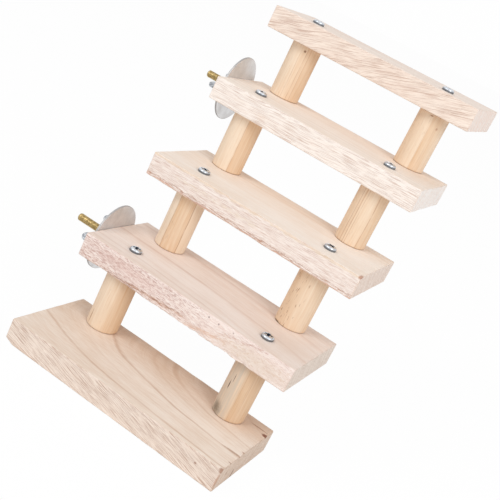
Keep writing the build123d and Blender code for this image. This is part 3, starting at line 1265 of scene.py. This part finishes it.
@dataclass
class Clamp:
    """One clamp: a threaded stud in a board's left end, two big washers and a wing nut."""

    place: ClampPlace
    stud_pitch: float = 0.8
    stud_thread: float = 0.22
    stud_bevel: float = 0.6
    washer_round: float = 0.2
    washer_burr: float = 0.08
    hub_base: float = 5.0
    hub_top: float = 4.2
    hub_height: float = 5.2
    bore: float = 2.56
    wing_half_thick: float = 1.15
    wing_tip: float = 3.0
    half_span: float = 13.0
    voxel: float = 0.2
    rows_per_turn: int = 8
    rim_rows: int = 5
    curve_steps: int = 14

    def axis_place(self, node: str) -> tuple[Matrix, float, np.ndarray]:
        """Where a node of the clamp starts, from the board's side.

        Args:
            node: the CAD node.

        Returns:
            The matrix that stands a shape's Z axis out along the stud, the node's length along
            it, and the centre of the node.
        """
        low, high = box_mm(node)
        centre = (low + high) / 2
        start = Matrix.Translation((high[0], centre[1], centre[2]))
        return start @ OUTWARDS, high[0] - low[0], centre

    def stud_rows(self, length: float) -> int:
        """Number of rows that show the thread of a stud of this length."""
        return int(length / self.stud_pitch * self.rows_per_turn)

    def build_stud(self) -> None:
        """Builds the threaded stud."""
        node = f"stud_{self.place.value[0]}"
        place, length, centre = self.axis_place(node)
        low, high = box_mm(node)
        radius = (high[1] - low[1]) / 2
        bevel = self.stud_bevel
        rows = [(radius - bevel, 0.0, 0.0)]
        for height in np.linspace(0.02, length - 0.02, self.stud_rows(length)):
            near = min(1.0, min(height, length - height) / bevel)
            reach = radius - bevel * (1 - near)
            depth = max(0.0, reach - (radius - self.stud_thread))
            rows.append((reach, height, depth))
        rows.append((radius - bevel, length, 0.0))
        points, faces = revolve(rows, 40, self.stud_pitch)
        piece = make_piece(f"{node}_thread", moved(points, place), faces)
        crisp(piece, 42.0)

        def hollows(graph: Graph) -> Wire:
            """Painted shade in the roots of the thread."""
            reach = graph.from_axis(centre)
            return reach.smooth(radius - 0.1, radius - self.stud_thread) * 0.4

        dress(piece, node, BRASS.material(f"{node}_brass", hollows))

    def build_washer(self, role: str, body: str) -> None:
        """Builds one pressed washer, with a rolled rim on its outer side.

        Args:
            role: inner or outer.
            body: the CAD body it rides on.
        """
        node = f"{role}_washer_{self.place.value[0]}"
        place, thick, centre = self.axis_place(node)
        low, high = box_mm(node)
        radius = (high[1] - low[1]) / 2
        bore = self.bore + 0.14
        soft, burr = self.washer_round, self.washer_burr
        rows = [(bore + burr, 0.0, 0.0), (radius - burr, 0.0, 0.0), (radius, burr, 0.0)]
        for step in range(self.rim_rows + 1):
            angle = step / self.rim_rows * math.pi / 2
            reach = radius - soft * (1 - math.cos(angle))
            rows.append((reach, thick - soft * (1 - math.sin(angle)), 0.0))
        rows += [(bore + soft, thick, 0.0), (bore + 0.1, thick - 0.1, 0.0)]
        rows += [(bore, thick - soft, 0.0), (bore, burr, 0.0)]
        points, faces = revolve(rows, 160, ring=True)
        piece = make_piece(f"{node}_plate", moved(points, place), faces)
        crisp(piece, 28.0)

        def hollows(graph: Graph) -> Wire:
            """Darker towards the bore and on the rolled rim, with faint scuffs."""
            _, y, z = graph.place(centre)
            reach = (y * y + z * z).root()
            scuff = graph.noise(y * 0.2, z * 0.5, self.place.value[1], 3.0, 0.6)
            rim = reach.smooth(radius - 0.35, radius - 0.05) * 0.5
            return (reach.smooth(4.2, 2.7) * 0.4).at_least(rim) + scuff.smooth(0.52, 0.8) * 0.06

        dress(piece, node, STEEL.material(f"{node}_steel", hollows), body)

    def wing_outline(self) -> list[tuple[float, float]]:
        """The outline of one wing, from the hub's foot round the tip to the hub's top.

        Returns:
            Distances from the axis and along it, mm.
        """
        steps = self.curve_steps

        def curve(*control: tuple[float, float]) -> list[tuple[float, float]]:
            """Points on a cubic curve."""
            ends = [Vector((*p, 0.0)) for p in control]
            shares = [k / steps for k in range(steps + 1)]
            made = [
                (1 - t) ** 3 * ends[0] + 3 * t * (1 - t) ** 2 * ends[1]
                + 3 * t * t * (1 - t) * ends[2] + t ** 3 * ends[3]
                for t in shares
            ]
            return [(p.x, p.y) for p in made]

        low, high = box_mm(f"wing_nut_{self.place.value[0]}")
        height = high[0] - low[0]
        half_span = self.half_span
        tip = (half_span - self.wing_tip, height - self.wing_tip)
        arc = [math.radians(150 * k / steps) for k in range(steps + 1)]
        outline = curve((2.8, 0.7), (6.8, 2.0), (half_span - 0.1, 6.2), (half_span, tip[1]))
        outline += [
            (tip[0] + self.wing_tip * math.cos(a), tip[1] + self.wing_tip * math.sin(a))
            for a in arc[1:]
        ]
        outline += curve(outline[-1], (6.3, 10.2), (5.7, 6.4), (2.8, self.hub_height - 0.3))[1:]
        return outline

    def build_nut(self) -> None:
        """Builds the cast wing nut: hub and wings grown together, then bored."""
        node = f"wing_nut_{self.place.value[0]}"
        place, height, centre = self.axis_place(node)
        half = self.wing_half_thick
        outline = self.wing_outline()
        count = len(outline)
        points, faces = [], []
        for mirror in (1, -1):
            base = len(points)
            for side in (-1, 1):
                for reach, rise in outline:
                    slim = half * (1.0 - 0.28 * min(1.0, max(0.0, (reach - 4) / 8)))
                    points.append((mirror * reach, side * slim, rise))
            for k in range(count):
                after = (k + 1) % count
                quad = [base + k, base + after, base + count + after, base + count + k]
                faces.append(quad if mirror == 1 else quad[::-1])
            cap = [base + k for k in range(count)]
            faces.append(cap[::-1] if mirror == 1 else cap)
            cap = [base + count + k for k in range(count)]
            faces.append(cap if mirror == 1 else cap[::-1])
        hub_rows = [(self.hub_base - 0.4, 0.05, 0.0), (self.hub_base, 0.5, 0.0)]
        hub_rows += [(self.hub_top, self.hub_height - 0.5, 0.0)]
        hub_rows += [(self.hub_top - 0.5, self.hub_height, 0.0)]
        hub_points, hub_faces = revolve(hub_rows, 64)
        start = len(points)
        points = np.concatenate([np.array(points), hub_points])
        faces += [[start + k for k in face] for face in hub_faces]
        piece = make_piece(f"{node}_casting", points, faces)
        grow = piece.modifiers.new("grow", "REMESH")
        grow.mode = "VOXEL"
        grow.voxel_size = self.voxel * MM
        grow.use_smooth_shade = True
        soften = piece.modifiers.new("soften", "SMOOTH")
        soften.factor, soften.iterations = 0.5, 5
        settle(piece)
        bore_rows = [(self.bore + 0.5, -1.0, 0.0), (self.bore + 0.5, 0.02, 0.0)]
        bore_rows += [(self.bore, 0.5, 0.0), (self.bore, self.hub_height - 0.3, 0.0)]
        bore_rows += [(self.bore + 0.4, self.hub_height + 0.1, 0.0)]
        bore_rows += [(self.bore + 0.4, self.hub_height + 2, 0.0)]
        cut_away(piece, make_piece("bore_cutter", *revolve(bore_rows, 64)))
        turn = Matrix.Rotation(-math.radians(self.place.value[1]), 4, "Z")
        scaled = place.copy()
        scaled.translation = place.translation * MM
        piece.data.transform(scaled @ turn)
        crisp(piece, 38.0)

        def hollows(graph: Graph) -> Wire:
            """Painted shade in the bore."""
            return graph.from_axis(centre).smooth(self.bore + 0.6, self.bore) * 0.7

        body = f"clamp_nut_{self.place.value[0]}"
        dress(piece, node, CAST.material(f"{node}_zinc", hollows), body)

    def build(self) -> None:
        """Builds the whole clamp."""
        self.build_stud()
        self.build_washer("inner", "steps")
        self.build_washer("outer", f"clamp_washer_{self.place.value[0]}")
        self.build_nut()


# --- Studio ---


@dataclass(frozen=True)
class Lamp:
    """A soft square white lamp, in metres, that points at the middle of the steps."""

    name: str
    place: Point
    side: float
    watts: float


@dataclass
class Studio:
    """The white floor, the soft light and the camera of the photograph."""

    lens: float = 65.561
    sensor: float = 36.0
    eye: Point = (0.17189, -0.44609, 0.26151)
    right: Point = (0.807345, 0.409989, 0.424386)
    up: Point = (-0.506811, 0.113436, 0.854561)
    ambient: float = 0.5
    floor_size: float = 14.0
    floor_drop: float = 0.02
    floor_grey: Colour = (0.88, 0.88, 0.88, 1.0)
    floor_white: float = 0.97
    backdrop: float = 0.995
    aim: Point = (0.0, 0.07, 0.11)
    lamps: tuple[Lamp, ...] = (
        Lamp("left_front", (-0.8, -1.1, 1.4), 0.9, 11.5),
        Lamp("right_front", (1.2, -0.8, 1.0), 0.9, 11.5),
    )

    def build_camera(self) -> None:
        """Sets the camera at the photograph's viewpoint."""
        data = bpy.data.cameras.new("camera")
        data.lens = self.lens
        data.sensor_width = self.sensor
        data.clip_start, data.clip_end = 0.01, 50.0
        camera = bpy.data.objects.new("camera", data)
        bpy.context.scene.collection.objects.link(camera)
        right, up = Vector(self.right).normalized(), Vector(self.up).normalized()
        back = right.cross(up).normalized()
        up = back.cross(right)
        turn = Matrix((right, up, back)).transposed().to_4x4()
        camera.matrix_world = Matrix.Translation(self.eye) @ turn
        bpy.context.scene.camera = camera

    def seen_directly(self, graph: Graph) -> Wire:
        """1 for rays from the camera and for those that metal or glass sends back, else 0.

        Args:
            graph: the graph of the floor or the world.

        Returns:
            The mask.
        """
        path = graph.node("ShaderNodeLightPath", out="Is Camera Ray")
        glossy = path.at_least(path.side("Is Glossy Ray"))
        return glossy.at_least(path.side("Is Transmission Ray"))

    def build_floor(self) -> None:
        """Lays the white floor, which keeps a faint shadow of the steps."""
        half, low = self.floor_size / 2 / MM, -self.floor_drop
        corners = [(x * half, y * half, low) for x, y in ((-1, -1), (1, -1), (1, 1), (-1, 1))]
        floor = make_piece("floor", np.array(corners), [[0, 1, 2, 3]], smooth=False)
        made, graph = new_material("floor_white")
        diffuse = graph.node("ShaderNodeBsdfDiffuse", {}, {"Color": self.floor_grey})
        pale = graph.node("ShaderNodeBsdfDiffuse", {}, {"Color": WHITE})
        glow = graph.node("ShaderNodeEmission", {}, {"Color": WHITE, "Strength": 1.0})
        seen = self.seen_directly(graph)
        bright = graph.node("ShaderNodeMixShader", {}, {0: self.floor_white, 1: pale, 2: glow})
        graph.surface(graph.node("ShaderNodeMixShader", {}, {0: seen, 1: diffuse, 2: bright}))
        floor.data.materials.append(made)

    def build_world(self) -> None:
        """Fills the world with even white light, shown as plain white."""
        world = bpy.data.worlds.new("studio")
        bpy.context.scene.world = world
        graph = Graph(world)
        strength = self.ambient + self.seen_directly(graph) * (self.backdrop - self.ambient)
        inputs = {"Color": WHITE, "Strength": strength}
        light = graph.node("ShaderNodeBackground", {}, inputs)
        graph.node("ShaderNodeOutputWorld", {}, {"Surface": light})

    def build_lamps(self) -> None:
        """Hangs the soft lamps."""
        for lamp in self.lamps:
            data = bpy.data.lights.new(lamp.name, "AREA")
            data.shape = "SQUARE"
            data.size = lamp.side
            data.energy = lamp.watts
            made = bpy.data.objects.new(lamp.name, data)
            made.location = lamp.place
            away = Vector(lamp.place) - Vector(self.aim)
            made.rotation_mode = "QUATERNION"
            made.rotation_quaternion = away.to_track_quat("Z", "Y")
            bpy.context.scene.collection.objects.link(made)

    def build(self) -> None:
        """Builds the whole studio."""
        bpy.context.scene.view_settings.view_transform = "Standard"
        self.build_world()
        self.build_floor()
        self.build_lamps()
        self.build_camera()


# --- The steps' own boards and dowels ---

BASE_WOOD = BoardWood(
    seed=3.0,
    growth=Growth(pith_y=60.0, depth=34.0, fall=0.35, lean=0.42, dip=1.0),
    lines=(
        (92.4, 2.1, 0.56), (75.4, 2.4, 0.66), (61.2, 2.2, 0.4), (44.6, 2.0, 0.42),
        (66.5, 1.8, 0.16), (84.0, 1.6, 0.12), (101.0, 1.8, 0.14),
    ),
    top_pale=srgb(244, 230, 217),
    top_deep=srgb(222, 195, 172),
    line=srgb(192, 152, 120),
    front_pale=srgb(249, 234, 221),
    front_deep=srgb(228, 206, 189),
    dash=srgb(176, 134, 110),
    end_pale=srgb(230, 210, 194),
    end_deep=srgb(203, 176, 154),
    back_shade=0.55,
    front_slope=-0.24,
    dash_share=0.62,
    dash_length=1.9,
    stains=(
        Stain((56.0, 24.0, 7.5), (46.0, 26.0, 3.0), srgb(214, 184, 160), 0.7, 0.0),
        Stain((60.0, -35.0, 1.3), (1.1, 1.0, 0.9), srgb(150, 96, 66), 0.6),
        Stain((74.5, 23.0, 7.5), (3.4, 2.4, 1.6), srgb(126, 72, 50), 0.9),
        Stain((68.0, 27.0, 7.5), (8.0, 0.9, 1.2), srgb(150, 100, 70), 0.6),
        Stain((74.6, -34.5, 7.0), (2.0, 1.6, 3.0), srgb(150, 96, 68), 0.7),
        Stain((72.0, -13.5, 7.5), (11.0, 1.2, 1.4), srgb(160, 112, 78), 0.65),
        Stain((75.0, -7.5, 7.5), (2.4, 1.0, 1.0), srgb(150, 104, 74), 0.6),
        Stain((75.0, -24.5, 7.5), (2.6, 0.8, 1.0), srgb(150, 104, 74), 0.6),
        Stain((74.8, -35.0, 0.0), (1.0, 1.2, 7.0), srgb(176, 122, 92), 0.5),
        Stain((75.0, -12.5, -4.5), (1.0, 1.6, 4.5), srgb(132, 104, 88), 0.75),
        Stain((75.0, -24.0, 0.8), (1.0, 1.8, 1.6), srgb(164, 128, 104), 0.5),
    ),
)
TREAD_1_WOOD = BoardWood(
    seed=11.0,
    growth=Growth(slope=0.0075, bow=0.0008, tilt=0.35),
    lines=(
        (4.4, 5.0, 0.55), (-21.0, 3.4, 0.42), (-32.0, 3.2, 0.5), (32.0, 6.0, 0.42),
        (-14.5, 3.0, 0.2), (-27.0, 2.4, 0.25),
    ),
    top_pale=srgb(244, 230, 221),
    top_deep=srgb(228, 204, 188),
    line=srgb(208, 174, 154),
    front_pale=srgb(255, 243, 236),
    front_deep=srgb(239, 215, 204),
    dash=srgb(184, 134, 120),
    end_pale=srgb(240, 226, 214),
    end_deep=srgb(218, 199, 184),
    back_shade=0.2,
    front_slope=-0.06,
    front_contrast=0.62,
    dash_share=0.6,
    dash_length=0.45,
    ripple=2.0,
    mottle=0.6,
    mottle_end=-8.0,
    scars=(
        Scar(-64.0, 8.0, -7.6, -2.7, 2.2, srgb(206, 156, 124), 0.6, 0.8),
        Scar(-60.0, 6.0, -7.2, -2.4, 1.3, srgb(160, 104, 76), 0.85, 1.0),
        Scar(2.0, 36.0, -6.8, -1.0, 2.4, srgb(226, 180, 150), 0.62, 0.8),
        Scar(22.0, 64.0, 0.4, 8.2, 2.0, srgb(204, 154, 136), 0.75, 1.0),
    ),
    stains=(
        Stain((-40.0, -35.0, 1.5), (42.0, 1.0, 7.0), srgb(220, 182, 172), 0.36, 0.1),
        Stain((52.0, -35.0, -2.0), (36.0, 1.0, 8.5), srgb(222, 202, 180), 0.4, 0.2),
        Stain((58.0, -10.0, 7.5), (34.0, 36.0, 2.0), srgb(226, 204, 188), 0.5, 0.0),
        Stain((17.0, -35.0, 5.5), (0.8, 1.0, 0.8), srgb(120, 84, 80), 0.6),
        Stain((24.0, -35.0, 5.0), (0.7, 1.0, 0.8), srgb(120, 84, 80), 0.6),
        Stain((34.0, -35.0, 5.5), (0.7, 1.0, 0.6), srgb(140, 100, 92), 0.5),
    ),
)
TREAD_2_WOOD = BoardWood(
    seed=23.0,
    growth=Growth(bow=0.0001, tilt=0.5),
    lines=((24.0, 5.0, 0.25), (-30.0, 3.0, 0.15), (31.0, 4.0, 0.2)),
    top_pale=srgb(250, 239, 229),
    top_deep=srgb(238, 216, 196),
    line=srgb(224, 190, 160),
    front_pale=srgb(254, 243, 235),
    front_deep=srgb(239, 219, 207),
    dash=srgb(192, 148, 126),
    end_pale=srgb(246, 230, 219),
    end_deep=srgb(225, 201, 184),
    back_shade=0.35,
    front_slope=0.02,
    front_contrast=0.6,
    dash_share=0.45,
    dash_length=1.2,
    mottle=0.1,
    mottle_end=80.0,
    scars=(
        Scar(-82.0, 82.0, -5.3, -5.5, 1.2, TORN_BROWN, 0.8, 1.0),
        Scar(-82.0, 82.0, -6.8, -6.9, 1.0, TORN_RED, 0.6, 0.4),
        Scar(-96.0, 84.0, 7.0, 6.6, 1.7, srgb(238, 214, 183), 0.55, 0.4),
        Scar(-60.0, 10.0, 1.0, 0.0, 3.0, srgb(243, 224, 196), 0.4, 1.0),
    ),
    stains=(Stain((74.4, -34.0, 7.0), (1.8, 5.0, 1.4), srgb(180, 122, 98), 0.75),),
)
TREAD_3_WOOD = BoardWood(
    seed=37.0,
    growth=Growth(slope=0.06, bow=0.0001, tilt=-0.8),
    lines=((-14.5, 3.4, 0.45), (-22.0, 2.6, 0.3), (8.0, 4.0, 0.18), (-29.0, 3.0, 0.25)),
    top_pale=srgb(250, 238, 227),
    top_deep=srgb(239, 219, 201),
    line=srgb(218, 188, 164),
    front_pale=srgb(255, 247, 240),
    front_deep=srgb(250, 235, 223),
    dash=srgb(196, 160, 140),
    end_pale=srgb(255, 252, 248),
    end_deep=srgb(250, 232, 221),
    end_bands=0.7,
    back_shade=0.3,
    front_slope=0.03,
    front_contrast=0.4,
    dash_share=0.55,
    dash_length=1.7,
    stains=(
        Stain((-36.0, -35.0, -2.2), (6.0, 1.0, 3.0), srgb(236, 204, 178), 0.25, 0.0),
        Stain((62.0, 6.0, 7.5), (32.0, 36.0, 2.0), srgb(232, 208, 186), 0.5, 0.0),
    ),
)
TREAD_4_WOOD = BoardWood(
    seed=51.0,
    growth=Growth(slope=0.01, bow=0.0001, tilt=0.15),
    lines=((-12.0, 5.0, 0.25), (14.0, 4.0, 0.25)),
    top_pale=srgb(250, 237, 227),
    top_deep=srgb(241, 220, 205),
    line=srgb(218, 188, 166),
    front_pale=srgb(254, 240, 227),
    front_deep=srgb(236, 212, 196),
    dash=srgb(184, 142, 120),
    end_pale=srgb(255, 249, 243),
    end_deep=srgb(250, 222, 207),
    end_bands=0.75,
    back_shade=0.15,
    front_slope=0.28,
    dash_share=0.58,
    dash_length=2.4,
)

BOARDS = (
    Board(
        "base_board", BASE_WOOD,
        chips=(Chip((-0.36, -0.34, -0.87), (-72.0, -34.0, -6.4)),),
        sinks=("under_screw_1_left", "under_screw_1_right"),
    ),
    Board("tread_1", TREAD_1_WOOD, tears=(Tear(-66.0, 52.0, 1.2, 3.4),)),
    Board("tread_2", TREAD_2_WOOD, tears=(Tear(-76.0, 78.0, 0.6, 2.4),)),
    Board("tread_3", TREAD_3_WOOD),
    Board("tread_4", TREAD_4_WOOD),
)

DOWELS = (
    Dowel("dowel_1_left", DowelWood(
        seed=5.0,
        bands=((-10.5, 0.3), (-4.0, 0.15), (1.0, 0.35), (5.0, 0.7), (10.5, 0.95)),
        stains=(Stain((-5.2, -8.9, -13.0), (0.5, 1.4, 6.0), srgb(166, 116, 74), 0.7),),
    )),
    Dowel("dowel_1_right", DowelWood(
        seed=9.0, grey=0.85, pale=srgb(240, 216, 190), deep=srgb(218, 180, 142),
        bands=((-10.5, 0.3), (-1.0, 0.35), (0.8, 0.85), (6.0, 0.65), (10.5, 0.85)),
        lines=((0.6, 0.8, 0.3), (4.6, 0.8, 0.3)),
        stains=(
            Stain((-5.6, -7.8, -15.5), (6.0, 5.4, 7.0), srgb(126, 112, 96), 0.85, 0.0),
            Stain((-4.9, -8.9, 1.5), (0.4, 1.4, 3.6), srgb(66, 42, 36), 0.95),
            Stain((-3.4, -9.5, 7.0), (0.32, 1.2, 3.6), srgb(104, 72, 56), 0.75),
        ),
    )),
    Dowel("dowel_2_left", DowelWood(
        seed=13.0,
        bands=(
            (-10.5, 0.1), (-4.9, 0.05), (-4.6, 0.85), (2.0, 0.6), (5.3, 0.7), (5.9, 0.2),
            (10.5, 0.3),
        ),
        lines=((-4.8, 1.0, 0.65), (5.6, 0.8, 0.75)),
    )),
    Dowel("dowel_2_right", DowelWood(
        seed=17.0, flecks=0.75,
        bands=((-10.5, 0.65), (-4.0, 0.6), (-1.5, 0.4), (4.0, 0.35), (10.5, 0.6)),
        # Painted contact shade: a thin dark band round the left front of the dowel's foot.
        stains=(Stain((-6.6, -8.0, -18.6), (4.2, 4.2, 0.8), srgb(92, 66, 48), 0.85, 0.2),),
    )),
    Dowel("dowel_3_left", DowelWood(
        seed=21.0,
        bands=((-10.5, 0.25), (-3.0, 0.1), (1.8, 0.1), (2.2, 0.85), (6.0, 0.65), (10.5, 0.85)),
        lines=((2.0, 0.9, 0.45),),
    )),
    Dowel("dowel_3_right", DowelWood(
        seed=29.0,
        bands=((-10.5, 0.5), (-5.0, 0.45), (-2.0, 0.3), (3.6, 0.35), (4.6, 0.6), (10.5, 0.65)),
        lines=((-6.6, 0.9, 0.5), (-4.9, 0.8, 0.65), (-3.4, 0.7, 0.4), (4.2, 0.9, 0.6)),
    )),
    Dowel("dowel_4_left", DowelWood(
        seed=33.0,
        bands=((-10.5, 0.3), (-5.0, 0.2), (0.0, 0.4), (3.0, 0.5), (10.5, 0.85)),
        lines=((-1.4, 0.9, 0.25), (2.4, 0.9, 0.4), (4.4, 0.8, 0.3)),
        stains=(Stain((3.6, -9.5, 15.4), (1.0, 1.6, 1.0), srgb(120, 70, 34), 0.8),),
    )),
    Dowel("dowel_4_right", DowelWood(
        seed=41.0,
        bands=(
            (-10.5, 0.6), (-5.0, 0.25), (-0.6, 0.2), (0.2, 0.7), (5.0, 0.6), (7.5, 0.25),
            (10.5, 0.35),
        ),
        lines=((-0.3, 0.8, 0.25), (3.6, 0.8, 0.2)),
        stains=(
            Stain((0.8, -10.0, 17.4), (1.5, 1.5, 0.7), srgb(166, 108, 70), 0.7),
            Stain((6.9, -7.6, 11.0), (0.8, 1.5, 1.2), srgb(176, 118, 84), 0.5),
        ),
    )),
)

# Turn of each screw's cross about its axis, in degrees, from the lowest step up.
SCREW_TURNS = {"left": (20.0, 38.0, 12.0, 65.0), "right": (8.0, 52.0, 30.0, 15.0)}


def main() -> None:
    logging.basicConfig(level=logging.INFO, format="%(name)s %(message)s")
    for board in BOARDS:
        board.build()
    for dowel in DOWELS:
        dowel.build()
    for side, turns in SCREW_TURNS.items():
        for step, turn in enumerate(turns, start=1):
            Screw(f"top_screw_{step}_{side}", turn).build()
            Screw(f"under_screw_{step}_{side}", turn + 25.0).build()
    for place in ClampPlace:
        Clamp(place).build()
    Studio().build()


if __name__ == "__main__":
    main()
